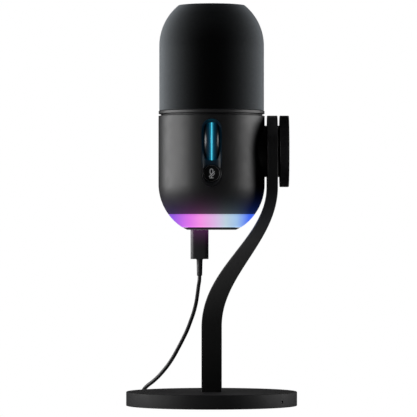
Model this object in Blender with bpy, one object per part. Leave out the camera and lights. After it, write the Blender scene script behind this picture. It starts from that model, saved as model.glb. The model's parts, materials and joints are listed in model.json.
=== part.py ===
"""Desktop microphone: a round-ended head that tilts beside an S-curved arm on a disc base.

Lengths are written in millimetres and turned into metres where meshes are made. The origin is the
centre of the base's underside, +Z is up, and the control panel faces -Y.
"""

from math import acos, asin, cos, degrees, hypot, pi, radians, sin, sqrt, tan

import bmesh
import bpy
from mathutils import Matrix, Vector

MM = 0.001
GAP = 0.3                   # clearance between neighbouring pieces
ROUND = 40                  # sides of the large turned pieces
SMALL_ROUND = 16            # sides of screws, pins and holes
INNER_ROUND = 24            # sides of the pieces inside the head
ARC = 6                     # steps in a profile's arc
SMOOTH_ANGLE = radians(35)

# Base
BASE_R = 55.0
BASE_TOP = 9.2
BASE_WALL = 3.0
BASE_ROOF = 2.2
BASE_EDGE = 0.4
BASE_LOW = 0.2
PAD_TOP = 1.6
PAD_R = 51.4
WEIGHT_R = 51.6
WEIGHT_LOW, WEIGHT_HIGH = 2.0, 6.3
ARM_SCREW_Y = 4.5
ARM_SCREW_TOP = 17.0
SCREW_R = 1.5
SCREW_HOLE_R = 1.8
SCREW_HEAD_R = 3.0
SCREW_SINK_R = 3.4
GRUB_ANGLE = radians(-35.5)
GRUB_Z = 3.9
GRUB_R = 0.8
GRUB_HOLE_R = 1.15

# Arm, seen from the front as an S and from the side as a spoon
ARM_LOW = BASE_TOP + GAP
ARM_BEND_LOW = 51.0
ARM_BEND_HIGH = 140.8
ARM_THICK_LOW = 13.05
ARM_THICK_HIGH = 6.7
ARM_TOP_X = 39.0
ARM_BEND_PULL_LOW = 35.7
ARM_BEND_PULL_HIGH = 34.25
ARM_THINNING = 0.765        # how soon the arm gets thinner along the bend
ARM_FOOT_HALF_DEPTH = 11.0
ARM_STATIONS = 26

# Tilt pivot, an axis along X
PIVOT_Z = 163.8
DISC_R = 23.0
BOSS_R = 16.6
BOSS_IN, BOSS_OUT = 26.5, 35.35
BOLT_R = 3.7
BOLT_HEAD_R = 8.0
BOLT_IN, BOLT_OUT = 23.2, 47.4
BORE_R = 4.05
SPACER_IN, SPACER_OUT = 42.65, 43.45
KNOB_IN, KNOB_OUT = 43.75, 49.8
INSERT_R = 7.0

# Head
BODY_R = 34.2
BODY_WALL = 2.2
BODY_TOP = 186.65
CHIN_R = 33.1               # radius of the arc that rounds the bottom of the body
CHIN_Z = 142.8
RING_LOW, RING_HIGH = 114.8, 123.3
RING_WALL = 2.5
CAP_LOW, CAP_HIGH = 113.3, 114.5
CAP_R = 16.1
TRIM_R = 34.1
TRIM_LOW, TRIM_HIGH = 187.6, 189.9
GRILLE_R = 33.7
GRILLE_WALL = 1.0
GRILLE_LOW = 190.2
SHOULDER_Z = 231.7
GRILLE_FLAT_R = 21.3
HEAD_TOP = 258.5
FOAM_WALL = 3.0

# Control panel
PANEL_HALF_WIDTH = 6.45
PANEL_LOW, PANEL_HIGH = 140.5, 183.9
PANEL_FLOOR = -30.0
PANEL_BACK = -28.2
PANEL_WALL = 0.4
WHEEL_Z = 169.5
WHEEL_Y = -19.7
WHEEL_R = 16.0
TYRE_R = 5.04
TYRE_CENTRE_R = WHEEL_R - TYRE_R
BAND_HALF = 0.7
SLOT_HALF_WIDTH = 5.45
SLOT_HALF_HEIGHT = 13.7
BUTTON_Z = 149.1
BUTTON_R = 5.65
BUTTON_HOLE_R = 5.95
BUTTON_FRONT, BUTTON_REAR = -31.6, -27.3
BUTTON_TRAVEL = 0.8

# USB-C end of the cable
PLUG_X = -7.75
PLUG_HALF_WIDTH = 5.8
PLUG_HALF_DEPTH = 3.3
PLUG_LOW, PLUG_HIGH = 94.6, 113.0
RELIEF_LOW = 84.2
RELIEF_R = 1.9

# Cable, laid down behind the base
CABLE_R = 1.25
CABLE_LIFT = 1.0            # the tie's strap passes under the coil
COIL_X, COIL_Y = -18.0, 88.0
COIL_IN, COIL_OUT = 12.5, 31.0
TIE_HALF_WIDTH = 4.0
TIE_IN = 11.2               # the strap's inner side, measured from the coil's centre
TIE_STRAP = 0.65
LEAD_ROUTE = (
    (-7.75, 0.0, 83.9), (-7.9, 0.1, 80.5), (-8.4, 1.0, 77.4), (-9.15, 2.4, 71.6),
    (-10.1, 4.4, 65.7), (-11.6, 6.9, 59.9), (-13.65, 9.8, 54.0), (-15.9, 13.0, 48.1),
    (-18.7, 16.6, 42.2), (-21.8, 20.4, 36.2), (-25.1, 24.2, 30.2), (-29.1, 28.4, 24.2),
    (-34.1, 32.6, 18.2), (-38.4, 35.9, 14.1), (-41.2, 38.3, 11.9), (-43.6, 41.2, 9.6),
    (-45.6, 45.6, 6.4), (-46.8, 51.5, 3.6), (-47.8, 58.5, 2.5), (-48.4, 67.0, 2.3),
    (-48.6, 76.5, 2.3),
)
TAIL_ROUTE = (
    (-4.5, 118.6, 4.2), (3.5, 116.6, 4.0), (11.5, 113.8, 3.8), (19.0, 109.4, 3.5),
    (25.2, 104.0, 3.4), (29.4, 98.4, 3.3), (31.4, 93.6, 3.3), (32.0, 89.4, 3.3),
)
ROUTE_STEPS = 2             # tube rings for each stretch of a route

# USB-A plug at the far end, lying along Y
FAR_X = 32.0
FAR_Z = 3.3
FAR_RELIEF_END = 89.1
FAR_BODY_END = 82.0
FAR_BODY_START = 62.0
FAR_SHELL_START = 49.9
FAR_HALF_WIDTH = 7.8
FAR_HALF_THICK = 3.2


def clear_scene():
    for item in list(bpy.data.objects):
        bpy.data.objects.remove(item, do_unlink=True)


def material(name, colour, metallic=0.0, roughness=0.5):
    made = bpy.data.materials.new(name)
    made.use_nodes = True
    shader = made.node_tree.nodes["Principled BSDF"]
    shader.inputs["Base Color"].default_value = (*colour, 1.0)
    shader.inputs["Metallic"].default_value = metallic
    shader.inputs["Roughness"].default_value = roughness
    return made


def finish_mesh(name, shape, look, location=(0.0, 0.0, 0.0)):
    """Turn a bmesh in millimetres into a named object with its origin at location."""
    bmesh.ops.recalc_face_normals(shape, faces=shape.faces)
    place = Vector(location)
    bmesh.ops.translate(shape, verts=shape.verts, vec=-place)
    bmesh.ops.scale(shape, verts=shape.verts, vec=(MM, MM, MM))
    mesh = bpy.data.meshes.new(name)
    shape.to_mesh(mesh)
    shape.free()
    mesh.materials.append(look)
    mesh.shade_smooth()
    mesh.set_sharp_from_angle(angle=SMOOTH_ANGLE)
    item = bpy.data.objects.new(name, mesh)
    item.location = place * MM
    bpy.context.collection.objects.link(item)
    return item


def carve(item, cutter, operation="DIFFERENCE"):
    """Apply one Boolean and remove its cutter."""
    change = item.modifiers.new("cut", "BOOLEAN")
    change.operation = operation
    change.object = cutter
    bpy.context.view_layer.update()
    graph = bpy.context.evaluated_depsgraph_get()
    result = bpy.data.meshes.new_from_object(item.evaluated_get(graph))
    item.modifiers.clear()
    item.data = result
    result.shade_smooth()
    result.set_sharp_from_angle(angle=SMOOTH_ANGLE)
    bpy.data.objects.remove(cutter, do_unlink=True)
    return item


def turn(name, profile, look, sides=ROUND, axis="Z", centre=(0.0, 0.0, 0.0)):
    """Turn a closed (radius, height) outline about an axis through centre.

    Along X or Y the outline's heights are distances from the centre towards +X or +Y.
    """
    shape = bmesh.new()
    rings = []
    for radius, height in profile:
        steps = (2 * pi * k / sides for k in range(sides if radius > 0 else 1))
        rings.append([shape.verts.new((radius * cos(a), radius * sin(a), height)) for a in steps])
    for low, high in zip(rings, rings[1:] + rings[:1]):
        flat = abs(low[0].co.z - high[0].co.z) < 1e-6
        if flat and 1 in (len(low), len(high)):
            shape.faces.new(max(low, high, key=len))
            continue
        for k in range(sides):
            after = (k + 1) % sides
            corners = []
            for vert in (low[k % len(low)], low[after % len(low)],
                         high[after % len(high)], high[k % len(high)]):
                if vert not in corners:
                    corners.append(vert)
            if len(corners) > 2:
                shape.faces.new(corners)
    bmesh.ops.delete(shape, geom=[v for v in shape.verts if not v.link_faces], context="VERTS")
    if axis == "X":
        bmesh.ops.rotate(shape, verts=shape.verts, matrix=Matrix.Rotation(pi / 2, 3, "Y"))
    if axis == "Y":
        bmesh.ops.rotate(shape, verts=shape.verts, matrix=Matrix.Rotation(-pi / 2, 3, "X"))
    bmesh.ops.translate(shape, verts=shape.verts, vec=centre)
    return finish_mesh(name, shape, look, centre)


def tube_profile(inner, outer, low, high):
    if inner <= 0:
        return [(0.0, low), (outer, low), (outer, high), (0.0, high)]
    return [(inner, low), (outer, low), (outer, high), (inner, high)]


def disc(name, radius, low, high, look, sides=SMALL_ROUND, axis="Z", centre=(0.0, 0.0, 0.0), inner=0.0):
    return turn(name, tube_profile(inner, radius, low, high), look, sides, axis, centre)


def prism(name, outline, low, high, look, axis="Z"):
    """Extrude a closed outline: (x, y) along Z, (x, z) along Y or (y, z) along X."""
    def point(a, b, h):
        return {"Z": (a, b, h), "Y": (a, h, b), "X": (h, a, b)}[axis]

    shape = bmesh.new()
    bottom = [shape.verts.new(point(a, b, low)) for a, b in outline]
    top = [shape.verts.new(point(a, b, high)) for a, b in outline]
    shape.faces.new(bottom)
    shape.faces.new(top)
    for k in range(len(outline)):
        after = (k + 1) % len(outline)
        shape.faces.new((bottom[k], bottom[after], top[after], top[k]))
    return finish_mesh(name, shape, look)


def box(name, low, high, look):
    outline = [(low[0], low[1]), (high[0], low[1]), (high[0], high[1]), (low[0], high[1])]
    return prism(name, outline, low[2], high[2], look)


def rounded(half_a, half_b, radius, centre=(0.0, 0.0), steps=5):
    """Outline of a rectangle with round corners."""
    points = []
    for sign_a, sign_b, start in ((1, 1, 0), (-1, 1, 1), (-1, -1, 2), (1, -1, 3)):
        for k in range(steps + 1):
            angle = (start + k / steps) * pi / 2
            points.append((centre[0] + sign_a * (half_a - radius) + radius * cos(angle),
                           centre[1] + sign_b * (half_b - radius) + radius * sin(angle)))
    return points


def pill(half_width, low, high, steps=12):
    """Upright outline with round ends, in (x, z)."""
    points = []
    for k in range(steps + 1):
        angle = pi * k / steps
        points.append((half_width * cos(angle), high - half_width + half_width * sin(angle)))
    for k in range(steps + 1):
        angle = pi + pi * k / steps
        points.append((half_width * cos(angle), low + half_width + half_width * sin(angle)))
    return points


def smooth_route(points, steps):
    """Read points from a Catmull-Rom curve through the route's own points."""
    knots = [Vector(p) for p in points]
    knots = [knots[0] * 2 - knots[1], *knots, knots[-1] * 2 - knots[-2]]
    result = []
    for a, b, c, d in zip(knots, knots[1:], knots[2:], knots[3:]):
        for k in range(steps):
            t = k / steps
            result.append(0.5 * (2 * b + (c - a) * t + (2 * a - 5 * b + 4 * c - d) * t ** 2
                                 + (3 * b - a - 3 * c + d) * t ** 3))
    return [*result, knots[-2]]


def cable_tube(name, route, look):
    points = smooth_route(route, ROUTE_STEPS)
    curve = bpy.data.curves.new(name, "CURVE")
    curve.dimensions = "3D"
    curve.bevel_depth = CABLE_R * MM
    curve.bevel_resolution = 2
    curve.use_fill_caps = True
    spline = curve.splines.new("POLY")
    spline.points.add(len(points) - 1)
    for vertex, point in zip(spline.points, points):
        vertex.co = (*(point * MM), 1.0)
    curve.materials.append(look)
    item = bpy.data.objects.new(name, curve)
    bpy.context.collection.objects.link(item)
    return item


def arc(centre, radius, start, end, steps=ARC):
    """Points on an arc in (radius, height), angles in degrees from the outward direction."""
    angles = (radians(start + (end - start) * k / steps) for k in range(steps + 1))
    return [(centre[0] + radius * cos(a), centre[1] + radius * sin(a)) for a in angles]


def chin_radius(height):
    """Outer radius of the head's rounded lower end at a height."""
    drop = min(0.0, height - CHIN_Z)
    return BODY_R - CHIN_R + sqrt(CHIN_R ** 2 - drop ** 2)


def chin_arc(low, high, inset=0.0, steps=5):
    heights = (low + (high - low) * k / steps for k in range(steps + 1))
    return [(chin_radius(z) - inset, z) for z in heights]


# Base ------------------------------------------------------------------------------------------

def make_base(looks):
    inner = BASE_R - BASE_WALL
    profile = [(inner, BASE_LOW), (BASE_R - BASE_EDGE, BASE_LOW), (BASE_R, BASE_LOW + BASE_EDGE)]
    profile += [(BASE_R, BASE_TOP - BASE_EDGE), (BASE_R - BASE_EDGE, BASE_TOP)]
    profile += [(0.0, BASE_TOP), (0.0, BASE_TOP - BASE_ROOF), (inner, BASE_TOP - BASE_ROOF)]
    cover = turn("base_cover", profile, looks["base"])
    weight = disc("base_weight", WEIGHT_R, WEIGHT_LOW, WEIGHT_HIGH, looks["steel"], ROUND)
    disc("foot_pad", PAD_R, 0.0, PAD_TOP, looks["rubber"], ROUND)
    for side in (-1, 1):
        centre = (0.0, side * ARM_SCREW_Y, 0.0)
        carve(cover, disc("hole", SCREW_HOLE_R, 5.5, 10.0, looks["steel"], centre=centre))
        carve(weight, disc("hole", SCREW_HOLE_R, 1.0, 7.0, looks["steel"], centre=centre))
        carve(weight, disc("sink", SCREW_SINK_R, 1.0, 4.4, looks["steel"], centre=centre))
    carve(cover, grub("hole", GRUB_HOLE_R, 50.0, 56.0, looks["steel"]))
    grub("base_set_screw", GRUB_R, 52.0, 54.4, looks["steel"])
    for name, side in (("arm_screw_front", -1), ("arm_screw_rear", 1)):
        profile = [(0.0, 2.2), (SCREW_HEAD_R, 2.2), (SCREW_HEAD_R, 4.0), (SCREW_R, 4.0),
                   (SCREW_R, ARM_SCREW_TOP), (0.0, ARM_SCREW_TOP)]
        turn(name, profile, looks["steel"], SMALL_ROUND, centre=(0.0, side * ARM_SCREW_Y, 0.0))


def grub(name, radius, near, far, look):
    """A pin lying along the base's radius at the grub screw's bearing."""
    item = disc(name, radius, near, far, look, 16, "X")
    item.data.transform(Matrix.Rotation(GRUB_ANGLE, 4, "Z"))
    item.location.z = GRUB_Z * MM
    return item


# Arm -------------------------------------------------------------------------------------------

def arm_centre(t):
    """Centre line of the bend in (x, z), from the upright foot at 0 to the upright top at 1."""
    p0 = Vector((0.0, ARM_BEND_LOW))
    p1 = Vector((0.0, ARM_BEND_LOW + ARM_BEND_PULL_LOW))
    p2 = Vector((ARM_TOP_X, ARM_BEND_HIGH - ARM_BEND_PULL_HIGH))
    p3 = Vector((ARM_TOP_X, ARM_BEND_HIGH))
    s = 1.0 - t
    point = p0 * s ** 3 + p1 * 3 * s * s * t + p2 * 3 * s * t * t + p3 * t ** 3
    slope = (p1 - p0) * 3 * s * s + (p2 - p1) * 6 * s * t + (p3 - p2) * 3 * t * t
    return point, slope.normalized()


def arm_thickness(t):
    fade = t * t * (3 - 2 * t)
    return ARM_THICK_LOW + (ARM_THICK_HIGH - ARM_THICK_LOW) * fade ** ARM_THINNING


def arm_front_outline():
    left = [(-ARM_THICK_LOW / 2, ARM_LOW)]
    right = [(ARM_THICK_LOW / 2, ARM_LOW)]
    for k in range(ARM_STATIONS + 1):
        t = k / ARM_STATIONS
        point, along = arm_centre(t)
        side = Vector((-along.y, along.x)) * arm_thickness(t) / 2
        left.append(tuple(point + side))
        right.append(tuple(point - side))
    top = PIVOT_Z + DISC_R + 1.0
    left.append((ARM_TOP_X - ARM_THICK_HIGH / 2, top))
    right.append((ARM_TOP_X + ARM_THICK_HIGH / 2, top))
    return right + left[::-1]


def arm_side_outline():
    """Outline in (y, z): straight sides that widen upwards and meet the round end tangentially."""
    reach = hypot(ARM_FOOT_HALF_DEPTH, PIVOT_Z - ARM_LOW)
    lean = asin(DISC_R / reach) - asin(ARM_FOOT_HALF_DEPTH / reach)
    turns = 34
    rim = []
    for k in range(turns + 1):
        angle = -lean + (pi + 2 * lean) * k / turns
        rim.append((DISC_R * cos(angle), PIVOT_Z + DISC_R * sin(angle)))
    below = ARM_FOOT_HALF_DEPTH - tan(lean)
    return [(below, ARM_LOW - 1.0), *rim, (-below, ARM_LOW - 1.0)]


def make_arm(looks):
    arm = prism("stand_arm", arm_front_outline(), -30.0, 30.0, looks["arm"], "Y")
    carve(arm, prism("side", arm_side_outline(), -20.0, 60.0, looks["arm"], "X"), "INTERSECT")
    pivot = (0.0, 0.0, PIVOT_Z)
    carve(arm, disc("bore", BORE_R, 30.0, 50.0, looks["arm"], SMALL_ROUND, "X", pivot))
    for side in (-1, 1):
        centre = (0.0, side * ARM_SCREW_Y, 0.0)
        carve(arm, disc("hole", SCREW_HOLE_R, 0.0, ARM_SCREW_TOP + 0.6, looks["arm"], centre=centre))
    disc("friction_washer", BOSS_R, SPACER_IN, SPACER_OUT, looks["rubber"], ROUND, "X", pivot, BORE_R)


# Pivot -----------------------------------------------------------------------------------------

def make_pivot(looks):
    pivot = (0.0, 0.0, PIVOT_Z)
    disc("pivot_boss", BOSS_R, BOSS_IN, BOSS_OUT, looks["arm"], ROUND, "X", pivot, BORE_R)
    profile = [(0.0, BOLT_IN), (BOLT_HEAD_R, BOLT_IN), (BOLT_HEAD_R, BOSS_IN - GAP),
               (BOLT_R, BOSS_IN - GAP), (BOLT_R, BOLT_OUT), (0.0, BOLT_OUT)]
    turn("pivot_bolt", profile, looks["steel"], SMALL_ROUND, "X", pivot)
    pocket = KNOB_OUT - 1.8
    profile = [(INSERT_R + GAP, KNOB_IN), (DISC_R - 0.5, KNOB_IN), (DISC_R, KNOB_IN + 0.5),
               (DISC_R, KNOB_OUT - 1.2), (DISC_R - 0.5, KNOB_OUT - 0.5), (DISC_R - 2.0, KNOB_OUT - 0.3),
               (DISC_R * 0.5, KNOB_OUT - 0.05), (0.0, KNOB_OUT), (0.0, pocket), (INSERT_R + GAP, pocket)]
    turn("clamp_knob", profile, looks["knob"], ROUND, "X", pivot)
    end = pocket - GAP
    disc("knob_insert", INSERT_R, KNOB_IN + 0.2, end, looks["brass"], SMALL_ROUND, "X", pivot, BORE_R)


# Head ------------------------------------------------------------------------------------------

def make_shell(looks):
    inner = BODY_R - BODY_WALL
    low = RING_HIGH + GAP
    outside = chin_arc(low, CHIN_Z, 0.0) + [(BODY_R, BODY_TOP - 0.4), (BODY_R - 0.4, BODY_TOP)]
    inside = [(inner, BODY_TOP)] + chin_arc(low, CHIN_Z, BODY_WALL, 3)[::-1]
    shell = turn("body_shell", outside + inside, looks["body"])
    window = pill(PANEL_HALF_WIDTH + GAP, PANEL_LOW - GAP, PANEL_HIGH + GAP)
    carve(shell, prism("window", window, -40.0, -20.0, looks["body"], "Y"))
    pivot = (0.0, 0.0, PIVOT_Z)
    carve(shell, disc("port", BOSS_R + GAP, 20.0, 40.0, looks["body"], ROUND, "X", pivot))

    outside = chin_arc(RING_LOW, RING_HIGH, 0.0, 4)
    inside = chin_arc(RING_LOW, RING_HIGH, RING_WALL, 2)[::-1]
    turn("light_ring", outside + inside, looks["diffuser"])

    lip = 15.2
    profile = [(0.0, CAP_LOW), (CAP_R - 0.3, CAP_LOW), (CAP_R, CAP_LOW + 0.3),
               (chin_radius(CAP_HIGH) - 0.2, CAP_HIGH), (lip, CAP_HIGH), (lip, 117.0), (0.0, 117.0)]
    cap = turn("bottom_cap", profile, looks["body"])
    port = rounded(5.05, 2.15, 2.1, (PLUG_X, 0.0))
    carve(cap, prism("port", port, 110.0, 120.0, looks["body"]))
    for side in (-1, 1):
        centre = (0.0, side * 10.0, 0.0)
        carve(cap, disc("hole", 1.3, 110.0, 120.0, looks["body"], centre=centre))
        carve(cap, disc("sink", 2.3, 110.0, 115.3, looks["body"], centre=centre))
    for name, side in (("cap_screw_front", -1), ("cap_screw_rear", 1)):
        profile = [(0.0, 113.7), (2.0, 113.7), (2.0, 115.0), (1.0, 115.0), (1.0, 121.2), (0.0, 121.2)]
        turn(name, profile, looks["steel"], 16, centre=(0.0, side * 10.0, 0.0))

    profile = [(0.0, 186.0), (31.4, 186.0), (31.4, 186.95), (33.2, 186.95), (33.2, 187.3),
               (30.9, 187.3), (30.9, 189.2), (0.0, 189.2)]
    turn("bulkhead", profile, looks["frame"], INNER_ROUND)


def make_windscreen(looks):
    profile = [(31.3, TRIM_LOW), (TRIM_R - 0.2, TRIM_LOW), (TRIM_R, TRIM_LOW + 0.3),
               (TRIM_R, TRIM_HIGH - 0.4), (TRIM_R - 0.3, TRIM_HIGH), (31.3, TRIM_HIGH)]
    turn("grille_trim_ring", profile, looks["trim"])

    rise = sqrt(GRILLE_R ** 2 - GRILLE_FLAT_R ** 2)
    shoulder = [(GRILLE_R, GRILLE_LOW)]
    inner = [(GRILLE_R - GRILLE_WALL, GRILLE_LOW)]
    top_angle = degrees(acos(GRILLE_FLAT_R / GRILLE_R))
    shoulder += arc((0.0, SHOULDER_Z), GRILLE_R, 0, top_angle)
    inner += arc((0.0, SHOULDER_Z), GRILLE_R - GRILLE_WALL, 0, top_angle)
    turn("windscreen_grille", shoulder + inner[::-1], looks["grille"])

    cap_low = SHOULDER_Z + rise + GAP
    profile = [(0.0, cap_low - 1.4), (GRILLE_FLAT_R - 2.4, cap_low - 1.4)]
    profile += [(GRILLE_FLAT_R - 2.0, cap_low - 0.3), (GRILLE_FLAT_R - 0.2, HEAD_TOP - 0.25)]
    profile += [(GRILLE_FLAT_R * 0.5, HEAD_TOP - 0.08), (0.0, HEAD_TOP)]
    turn("grille_top", profile, looks["grille"])

    outer = GRILLE_R - GRILLE_WALL - GAP
    foam = [(outer, GRILLE_LOW + 0.3)] + arc((0.0, SHOULDER_Z - 0.6), outer, 0, 46, 4)
    hollow = outer - FOAM_WALL
    foam += [(0.0, foam[-1][1]), (0.0, foam[-1][1] - FOAM_WALL)]
    foam += arc((0.0, SHOULDER_Z - 0.6), hollow, 44, 0, 3) + [(hollow, GRILLE_LOW + 0.3)]
    turn("foam_liner", foam, looks["foam"], INNER_ROUND)


def make_capsule(looks):
    """Moving-coil capsule on a rubber collar, standing on the bulkhead."""
    post = [(5.0, 189.5), (16.0, 189.5), (16.0, 191.5), (9.0, 191.5), (9.0, 201.0), (5.0, 201.0)]
    turn("capsule_cradle", post, looks["frame"], SMALL_ROUND)
    collar = [(9.3, 196.0), (14.0, 196.0), (14.0, 204.0), (0.0, 204.0), (0.0, 201.3), (9.3, 201.3)]
    turn("shock_mount", collar, looks["rubber"], SMALL_ROUND)
    cup = [(0.0, 204.3), (15.5, 204.3), (15.5, 232.0), (14.3, 232.0), (14.3, 205.5), (0.0, 205.5)]
    turn("capsule_housing", cup, looks["frame"], SMALL_ROUND)
    pot = [(0.0, 205.8), (11.5, 205.8), (11.5, 226.0), (9.2, 226.0), (9.2, 210.0), (7.0, 210.0),
           (7.0, 226.0), (0.0, 226.0)]
    turn("capsule_magnet", pot, looks["steel"], SMALL_ROUND)
    turn("voice_coil", tube_profile(7.7, 8.5, 218.0, 228.0), looks["copper"], SMALL_ROUND)
    dome = [(0.0, 229.2), (8.6, 228.3), (13.9, 228.7), (13.9, 228.95), (8.6, 228.6), (0.0, 230.2)]
    turn("capsule_diaphragm", dome, looks["clear"], SMALL_ROUND)
    guard = [(0.0, 232.3), (15.5, 232.3), (15.0, 233.5), (0.0, 233.5)]
    turn("capsule_guard", guard, looks["steel"], SMALL_ROUND)


def make_panel(looks):
    outline = pill(PANEL_HALF_WIDTH, PANEL_LOW, PANEL_HIGH)
    bezel = prism("control_bezel", outline, -40.0, PANEL_BACK, looks["panel"], "Y")
    carve(bezel, disc("skin", BODY_R, 100.0, 200.0, looks["panel"], 96), "INTERSECT")
    cavity = pill(PANEL_HALF_WIDTH - PANEL_WALL, PANEL_LOW + PANEL_WALL, PANEL_HIGH - PANEL_WALL)
    carve(bezel, prism("scoop", cavity, -45.0, PANEL_FLOOR, looks["panel"], "Y"))
    slot = pill(SLOT_HALF_WIDTH, WHEEL_Z - SLOT_HALF_HEIGHT, WHEEL_Z + SLOT_HALF_HEIGHT)
    carve(bezel, prism("slot", slot, -45.0, -20.0, looks["panel"], "Y"))
    button_at = (0.0, 0.0, BUTTON_Z)
    carve(bezel, disc("hole", BUTTON_HOLE_R, -45.0, -20.0, looks["panel"], 32, "Y", button_at))

    profile = [(0.0, BUTTON_FRONT + 0.25), (BUTTON_R - 1.2, BUTTON_FRONT), (BUTTON_R - 0.3, BUTTON_FRONT),
               (BUTTON_R, BUTTON_FRONT + 0.3), (BUTTON_R, BUTTON_REAR), (0.0, BUTTON_REAR)]
    turn("mute_button", profile, looks["panel"], 32, "Y", button_at)
    front = BUTTON_REAR + BUTTON_TRAVEL + GAP
    switch = prism("mute_switch", rounded(3.0, 3.0, 0.4, (0.0, BUTTON_Z)), front + 1.0, front + 4.0,
                   looks["frame"], "Y")
    carve(switch, disc("plunger", 1.6, front, front + 2.0, looks["frame"], 16, "Y", button_at), "UNION")
    board = rounded(10.0, 6.4, 1.0, (0.0, 146.4))
    prism("panel_board", board, front + 4.3, front + 5.9, looks["board"], "Y")


def make_wheel(looks):
    hub = (0.0, WHEEL_Y, WHEEL_Z)
    for name, side in (("gain_wheel_left", -1), ("gain_wheel_right", 1)):
        inner = BAND_HALF + GAP
        start = 78.5
        profile = [(TYRE_CENTRE_R + TYRE_R * sin(radians(a)), side * TYRE_R * cos(radians(a)))
                   for a in (start - (start + 50) * k / 7 for k in range(8))]
        profile += [(6.6, side * 2.6), (1.3, side * 2.6), (1.3, side * inner)]
        turn(name, profile, looks["wheel"], INNER_ROUND, "X", hub)
    band = tube_profile(11.5, WHEEL_R - 0.05, -BAND_HALF, BAND_HALF)
    turn("wheel_light_band", band, looks["glow"], INNER_ROUND, "X", hub)
    disc("wheel_axle", 1.0, -10.0, 7.2, looks["steel"], 16, "X", hub)

    bracket = box("wheel_bracket", (-7.4, -27.8, 164.0), (7.4, -1.4, 175.0), looks["frame"])
    carve(bracket, box("gap", (-5.7, -30.0, 160.0), (5.7, -2.9, 180.0), looks["frame"]))
    carve(bracket, disc("bore", 1.3, -20.0, 20.0, looks["frame"], 16, "X", hub))
    encoder = box("wheel_encoder", (-12.4, WHEEL_Y - 5.0, WHEEL_Z - 5.0),
                  (-7.7, WHEEL_Y + 5.0, WHEEL_Z + 5.0), looks["frame"])
    carve(encoder, disc("bore", 1.3, -10.3, 0.0, looks["frame"], 16, "X", hub))


def make_electronics(looks):
    outline = [(-12.0, 118.0), (12.0, 118.0), (12.0, 127.4), (22.0, 127.4), (22.0, 185.6),
               (-22.0, 185.6), (-22.0, 127.4), (-12.0, 127.4)]
    chassis = prism("chassis", outline, 9.0, 11.2, looks["frame"], "Y")
    carve(chassis, box("foot", (-11.0, -12.5, 118.2), (11.0, 10.0, 120.4), looks["frame"]), "UNION")
    for side in (-1, 1):
        centre = (0.0, side * 10.0, 0.0)
        carve(chassis, disc("hole", 1.3, 110.0, 121.9, looks["frame"], centre=centre))
    usb_bay = rounded(5.3, 2.5, 0.5, (PLUG_X, 0.0))
    carve(chassis, prism("bay", usb_bay, 110.0, 125.0, looks["frame"]))
    box("main_board", (-21.0, 7.0, 128.0), (21.0, 8.6, 184.0), looks["board"])

    ring = turn("led_board", tube_profile(19.0, 25.2, 125.0, 126.6), looks["board"], INNER_ROUND)
    for k in range(8):
        angle = 2 * pi * (k + 0.5) / 8
        at = (22.0 * cos(angle), 22.0 * sin(angle), 0.0)
        carve(ring, disc("led", 1.5, 124.1, 125.4, looks["board"], 8, centre=at), "UNION")

    shell = prism("usb_receptacle", rounded(4.75, 1.85, 1.8, (PLUG_X, 0.0)), 113.7, 122.0, looks["steel"])
    carve(shell, prism("mouth", rounded(4.45, 1.55, 1.5, (PLUG_X, 0.0)), 110.0, 121.0, looks["steel"]))
    tongue = box("tongue", (PLUG_X - 3.3, -0.35, 115.0), (PLUG_X + 3.3, 0.35, 121.5), looks["steel"])
    carve(shell, tongue, "UNION")


# Cable -----------------------------------------------------------------------------------------

def make_near_plug(looks):
    outline = rounded(PLUG_HALF_WIDTH, PLUG_HALF_DEPTH, 1.6, (PLUG_X, 0.0))
    prism("usb_c_overmold", outline, PLUG_LOW, PLUG_HIGH, looks["cable"])
    shell = prism("usb_c_shell", rounded(4.12, 1.2, 1.15, (PLUG_X, 0.0)), 113.4, 119.4, looks["steel"])
    carve(shell, prism("mouth", rounded(3.8, 0.88, 0.8, (PLUG_X, 0.0)), 114.2, 125.0, looks["steel"]))
    high = PLUG_LOW - GAP
    profile = [(0.0, RELIEF_LOW), (RELIEF_R - 0.2, RELIEF_LOW), (RELIEF_R, high), (0.0, high)]
    turn("usb_c_relief", profile, looks["cable"], SMALL_ROUND, centre=(PLUG_X, 0.0, 0.0))


def make_far_plug(looks):
    at = (FAR_X, 0.0, FAR_Z)
    start = FAR_BODY_END + GAP
    profile = [(0.0, start), (3.0, start), (RELIEF_R, FAR_RELIEF_END), (0.0, FAR_RELIEF_END)]
    turn("usb_a_relief", profile, looks["cable"], SMALL_ROUND, "Y", at)
    outline = rounded(FAR_HALF_WIDTH, FAR_HALF_THICK, 1.4, (FAR_X, FAR_Z))
    prism("usb_a_overmold", outline, FAR_BODY_START, FAR_BODY_END, looks["cable"], "Y")
    low = (FAR_X - 6.0, FAR_SHELL_START, FAR_Z - 2.25)
    high = (FAR_X + 6.0, FAR_BODY_START - GAP, FAR_Z + 2.25)
    shell = box("usb_a_shell", low, high, looks["steel"])
    mouth_low = (low[0] + 0.35, low[1] - 5.0, low[2] + 0.35)
    mouth_high = (high[0] - 0.35, high[1] - 0.6, high[2] - 0.35)
    carve(shell, box("mouth", mouth_low, mouth_high, looks["steel"]))
    tongue_low = (low[0] + 1.0, low[1] + 0.6, FAR_Z + 0.1)
    tongue_high = (high[0] - 1.0, high[1] - 0.3, FAR_Z + 1.2)
    tongue = box("tongue", tongue_low, tongue_high, looks["steel"])
    carve(shell, tongue, "UNION")


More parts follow.
